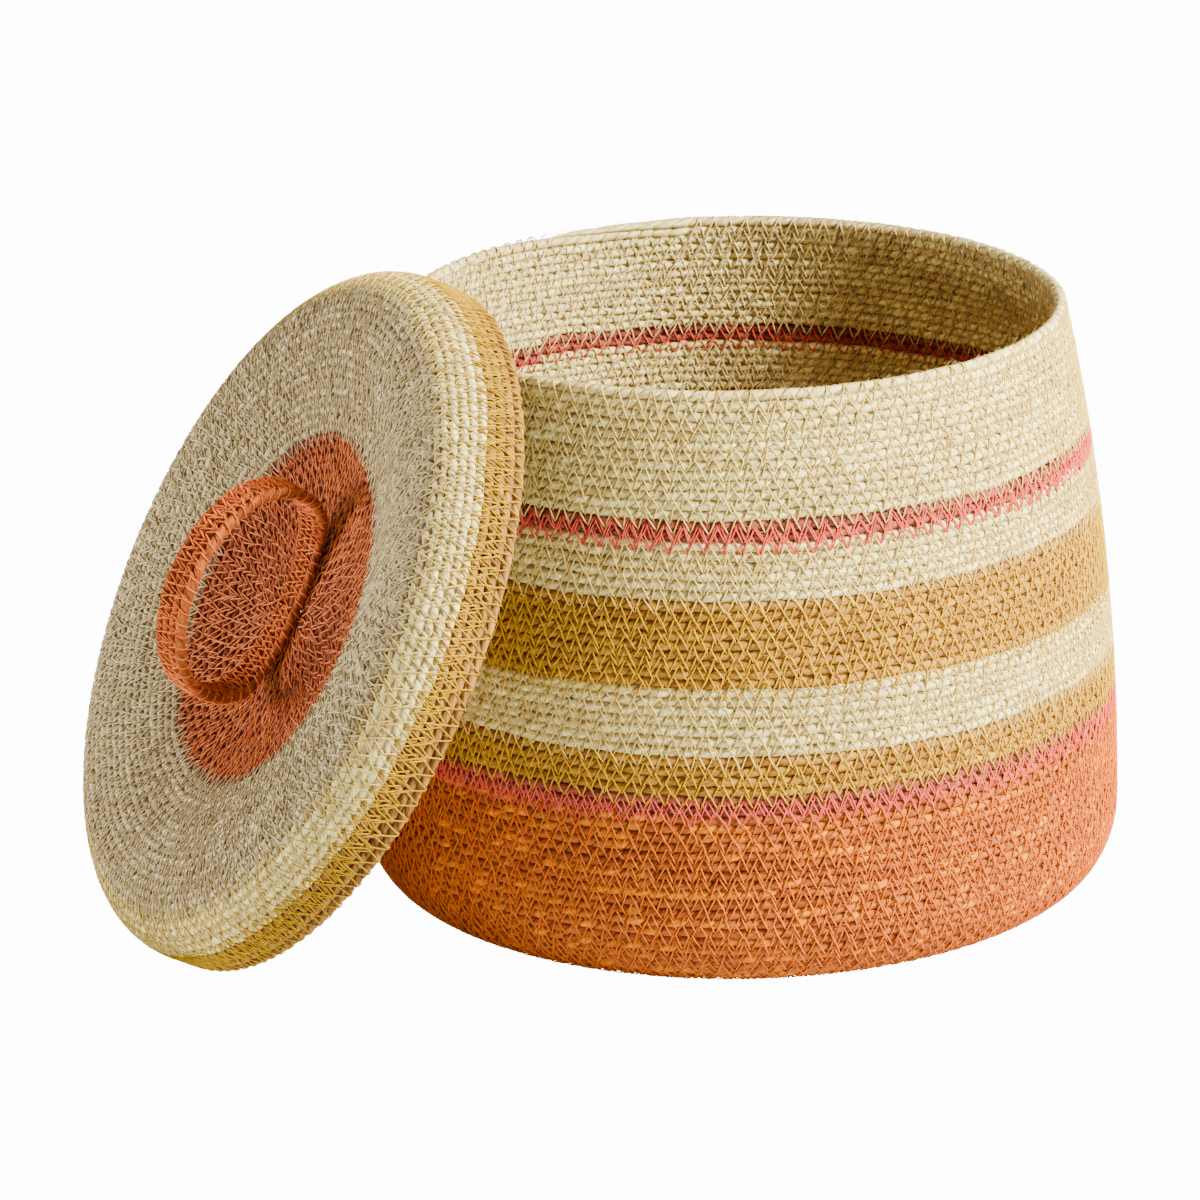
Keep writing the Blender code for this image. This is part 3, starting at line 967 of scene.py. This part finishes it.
# Further stitches in the skirt's colour: name, rows, seed, whether on the inner face, and slant
LID_EXTRA_STITCHES = (
    ("lid_rim_thread", (RIM_START, 1), SEEDS["lid_rim"], False, LID_RIM_SLANT),
    ("lid_rim_thread_inside", (RIM_START, 1), SEEDS["lid_rim"], True, LID_RIM_SLANT),
    ("lid_ochre_thread_again", (1, LID_OCHRE_ROWS), SEEDS["lid_thread_again"], False, 0.44),
)

# Loose fibres: name, count, rows and colour
LID_FIBRES = (
    ("lid_fibres", 900, (LID_OCHRE_ROWS, disc_row), "lid_cream"),
    ("lid_orange_fibres", 350, (disc_row, lid.rows - 2), "disc"),
)


def make_lid():
    """Wind and sew the lid's bands, then its rim and its skirt once more, and leave loose fibres."""
    place = (LID_START, "lid")
    for index, (name, band, colour, cad_node, slant, pitch) in enumerate(LID_BANDS):
        seed = SEEDS["lid_cord"] + 10 * index
        wind_band(
            lid, name + "_cord", band, colour, *place, (cad_node,), CORD_SPACING, seed, onto_lid
        )
        sewn = (max(band[0], 1), min(band[1], lid.rows - LAST_SEAM))
        seed = SEEDS["lid_thread"] + index
        for inner, label in ((False, "_thread"), (True, "_thread_inside")):
            sew_band(lid, name + label, sewn, colour, *place, seed, inner, slant, pitch, onto_lid)
    for name, rows, seed, inner, slant in LID_EXTRA_STITCHES:
        sew_band(lid, name, rows, "lid_ochre", *place, seed, inner, slant, STITCH, onto_lid)
    for index, (name, count, rows, colour) in enumerate(LID_FIBRES):
        seed = SEEDS["lid_fibres"] + index
        fray(lid, name, count, rows, ALL_ROUND, colour, *place, seed, after=onto_lid)


# The handle


def handle_outline():
    """Return the loop's middle line, lowest place first, and the length to each of its points."""
    turns = np.linspace(-math.pi / 2, 1.5 * math.pi, HANDLE_POINTS)
    across, up = np.cos(turns), np.sin(turns)
    power = 2 / HANDLE_BOTTOM_POWER
    x = HANDLE_HALF_LENGTH * np.where(up >= 0, across, np.sign(across) * np.abs(across) ** power)
    y = np.where(up >= 0, HANDLE_TOP_HEIGHT * up, -HANDLE_BOTTOM_HEIGHT * np.abs(up) ** power)
    line = np.column_stack((x, y))
    return line, running_length(line)


HANDLE_LINE, HANDLE_STEPS = handle_outline()
HANDLE_LENGTH = HANDLE_STEPS[-1]
HANDLE_LOW = HANDLE_LINE[:, 1].min() - WALL / 2


def on_loop(length):
    """Return points of the loop's middle line. Lengths past its end begin again."""
    length = np.mod(length, HANDLE_LENGTH)
    return np.column_stack([np.interp(length, HANDLE_STEPS, values) for values in HANDLE_LINE.T])


def handle_at(length, across, out=0.0):
    """Return points, outward normals and across directions on the loop before it leans."""
    length = np.mod(length, HANDLE_LENGTH)
    tangent = on_loop(length + TANGENT_STEP) - on_loop(length - TANGENT_STEP)
    tangent /= np.linalg.norm(tangent, axis=1)[:, None]
    normal = np.column_stack((tangent[:, 1], -tangent[:, 0]))
    point = on_loop(length) + np.asarray(out).reshape(-1, 1) * normal
    place = np.column_stack((point, np.broadcast_to(across, len(point))))
    flat = np.zeros(len(point))
    return place, np.column_stack((normal, flat)), np.tile((0.0, 0.0, 1.0), (len(point), 1))


def stand_handle(points):
    """Lean the loop over, turn it and stand it on the lid, as its solid is."""
    along, height, across = points[:, 0], points[:, 1] - HANDLE_LOW, points[:, 2]
    share = np.clip(height / HANDLE_LEAN_HEIGHT, 0, 1)
    lean = HANDLE_LEAN * share * share * (3 - 2 * share)
    x = across * np.cos(lean) + height * np.sin(lean)
    z = height * np.cos(lean) - across * np.sin(lean)
    cosine, sine = math.cos(HANDLE_TURN), math.sin(HANDLE_TURN)
    placed = np.column_stack((
        x * cosine - along * sine - HANDLE_OFFSET * sine,
        x * sine + along * cosine + HANDLE_OFFSET * cosine,
        z + LID_HEIGHT - LID_DISH_DEPTH + HANDLE_SEAT_GAP,
    ))
    return onto_lid(placed)


def wind_handle(row):
    """Make one closed row of the handle's strap."""
    rings = int(HANDLE_LENGTH / HANDLE_SPACING)
    length = np.arange(rings) / rings * HANDLE_LENGTH
    centre, normal, across = handle_at(length, (row - (HANDLE_ROWS - 1) / 2) * ROW)
    piece = add_cord(
        f"handle_cord_{row + 1}", centre, normal, across, length, np.ones(rings),
        CORDS["handle"], SEEDS["handle_cord"] + row, closed=True, after=stand_handle,
    )
    finish_piece(piece, "lid", "handle", ("handle_loop",))


def add_handle_thread(name, points, normal, tone):
    """Make one length of the handle's thread."""
    piece = add_thread(name, points, normal, tone, THREADS["handle"], after=stand_handle)
    finish_piece(piece, "lid", "handle")


def whip_handle(side):
    """Wind a thread round the outermost row on one side of the handle, -1 or 1."""
    rng = np.random.default_rng(SEEDS["handle_whip"] + side)
    steps = int(HANDLE_LENGTH / WHIP_PITCH * WHIP_POINTS)
    length = np.linspace(HANDLE_END, HANDLE_LENGTH - HANDLE_END, steps)
    turned = math.tau * length / WHIP_PITCH + waver(length, WHIP_DRIFT, rng)
    out = np.cos(turned) * (CORD_HALF_WALL + WHIP_STAND)
    points, normal, across = handle_at(length, 0.0, out)
    points[:, 2] = side * WHIP_ROW * ROW + np.sin(turned) * (CORD_HALF_ROW + WHIP_STAND)
    facing = np.cos(turned)[:, None] * normal + np.sin(turned)[:, None] * across
    tone = np.clip(slow_noise(length, WHIP_TONE_SPACING, rng), -1, 1)
    add_handle_thread(f"handle_whip_{'low' if side < 0 else 'high'}", points, facing, tone)


def sew_handle(seam, face):
    """Sew one seam of the handle on its outer face, 1, or its inner one, -1."""
    rng = np.random.default_rng(SEEDS["handle_thread"] + seam + 10 * face)
    tips = int(HANDLE_LENGTH / (HANDLE_STITCH / 2)) + seam
    odd = np.arange(tips + 1) % 2
    at = np.linspace(HANDLE_END, HANDLE_LENGTH - HANDLE_END, tips + 1) + rng.uniform(0, HANDLE_STITCH)
    at = at + rng.normal(0, HANDLE_TIP_SPREAD, tips + 1)
    middle = (seam - 1) * ROW
    limit = (HANDLE_ROWS / 2 - HANDLE_EDGE_ROWS) * ROW
    reach = (2 * odd - 1) * STITCH_REACH * ROW + rng.normal(0, HANDLE_REACH_SPREAD, tips + 1)
    side = np.clip(middle + reach, -limit, limit)
    shares, sunk = np.array(HANDLE_LEG[0]), np.array(HANDLE_LEG[1])
    out = face * (WALL / 2 - np.tile(sunk, tips))
    points, normal, _ = handle_at(on_legs(at, shares), 0.0, out)
    points[:, 2] = on_legs(side, shares)
    tone = np.repeat(np.clip(rng.normal(0, HANDLE_TONE_SPREAD, tips), -1, 1), len(shares))
    name = f"handle_thread_{seam + 1}_{'out' if face > 0 else 'in'}"
    add_handle_thread(name, points, face * normal, tone)


def make_handle():
    """Wind the handle's rows, whip its two edges and sew its seams on both faces."""
    for row in range(HANDLE_ROWS):
        wind_handle(row)
    for side in (-1, 1):
        whip_handle(side)
    for seam in range(HANDLE_ROWS - 1):
        for face in (1, -1):
            sew_handle(seam, face)


make_basket()
make_lid()
make_handle()


# Floor, light and camera

WHITE_STRENGTH = 14.0
FLOOR_COLOUR = (0.68, 0.68, 0.68, 1)
FLOOR_ROUGHNESS = 0.9
FLOOR_REACH = 6
FLOOR_DROP = 0.0002
SKY_STRENGTH = 0.34

# Lamps: name, place, what it faces, size, power and colour
LAMPS = (
    ("key", (1.00, 1.02, 1.26), (0, -0.05, 0.1), (0.7, 0.7), 236, (1.0, 0.97, 0.91)),
    ("fill", (-0.8, -1.75, 0.24), (0, -0.19, 0.13), (1.2, 0.38), 60, (1, 1, 1)),
    ("low_fill", (1.35, -0.12, 0.11), (0, -0.1, 0.08), (0.9, 0.16), 6.5, (1, 1, 1)),
)

# The camera as fitted to the photograph
CAMERA_LENS = 166.6
CAMERA_SENSOR = 36
CAMERA_CLIP_END = 50
CAMERA_PLACE = (2.0498, -0.9054, 0.8640)
CAMERA_FORWARD = (-0.8772, 0.3606, -0.3170)
CAMERA_RIGHT = (0.3802, 0.9249, 0)
CAMERA_ROLL = -0.0217


def add_area(name, place, target, size, power, colour):
    """Add a rectangular lamp that faces a target."""
    lamp = bpy.data.lights.new(name, "AREA")
    lamp.shape = "RECTANGLE"
    lamp.size, lamp.size_y = size
    lamp.energy = power
    lamp.color = colour
    made = bpy.data.objects.new(name, lamp)
    made.location = place
    made.rotation_euler = (Vector(target) - Vector(place)).to_track_quat("-Z", "Y").to_euler()
    bpy.context.scene.collection.objects.link(made)


def white_for_camera(tree, shading, output, kind):
    """Let the camera see plain studio white where other rays see the surface's own shading."""
    path = node(tree, "ShaderNodeLightPath")
    white = node(tree, kind, in_Color=(1, 1, 1, 1), in_Strength=WHITE_STRENGTH)
    choice = node(tree, "ShaderNodeMixShader")
    tree.links.new(path.outputs["Is Camera Ray"], choice.inputs[0])
    tree.links.new(shading, choice.inputs[1])
    tree.links.new(white.outputs[0], choice.inputs[2])
    tree.links.new(choice.outputs[0], output)


def make_floor():
    """Lay a wide floor just below the basket."""
    material, tree, shader = new_material("floor")
    shader.inputs["Base Color"].default_value = FLOOR_COLOUR
    shader.inputs["Roughness"].default_value = FLOOR_ROUGHNESS
    surface = tree.nodes["Material Output"].inputs["Surface"]
    white_for_camera(tree, shader.outputs[0], surface, "ShaderNodeEmission")
    mesh = bpy.data.meshes.new("floor")
    corners = [(x * FLOOR_REACH, y * FLOOR_REACH, 0) for x, y in ((-1, -1), (1, -1), (1, 1), (-1, 1))]
    mesh.from_pydata(corners, [], [(0, 1, 2, 3)])
    mesh.materials.append(material)
    floor = bpy.data.objects.new("floor", mesh)
    floor.location.z = -FLOOR_DROP
    bpy.context.scene.collection.objects.link(floor)


def make_world():
    """Light everything evenly from a white sky."""
    world = bpy.data.worlds.new("studio")
    world.use_nodes = True
    sky = world.node_tree.nodes["Background"]
    sky.inputs[0].default_value = (1, 1, 1, 1)
    sky.inputs[1].default_value = SKY_STRENGTH
    surface = world.node_tree.nodes["World Output"].inputs["Surface"]
    white_for_camera(world.node_tree, sky.outputs[0], surface, "ShaderNodeBackground")
    bpy.context.scene.world = world


def place_camera():
    """Place the camera where the photograph was taken."""
    data = bpy.data.cameras.new("camera")
    data.lens = CAMERA_LENS
    data.sensor_width = CAMERA_SENSOR
    data.clip_end = CAMERA_CLIP_END
    camera = bpy.data.objects.new("camera", data)
    forward = Vector(CAMERA_FORWARD).normalized()
    right = Vector(CAMERA_RIGHT).normalized()
    up = right.cross(forward)
    turned_right = right * math.cos(CAMERA_ROLL) + up * math.sin(CAMERA_ROLL)
    turned_up = up * math.cos(CAMERA_ROLL) - right * math.sin(CAMERA_ROLL)
    camera.matrix_world = Matrix((
        (*turned_right, 0), (*turned_up, 0), (*(-forward), 0), (0, 0, 0, 1)
    )).transposed()
    camera.location = CAMERA_PLACE
    bpy.context.scene.collection.objects.link(camera)
    bpy.context.scene.camera = camera


make_floor()
make_world()
for lamp in LAMPS:
    add_area(*lamp)
place_camera()
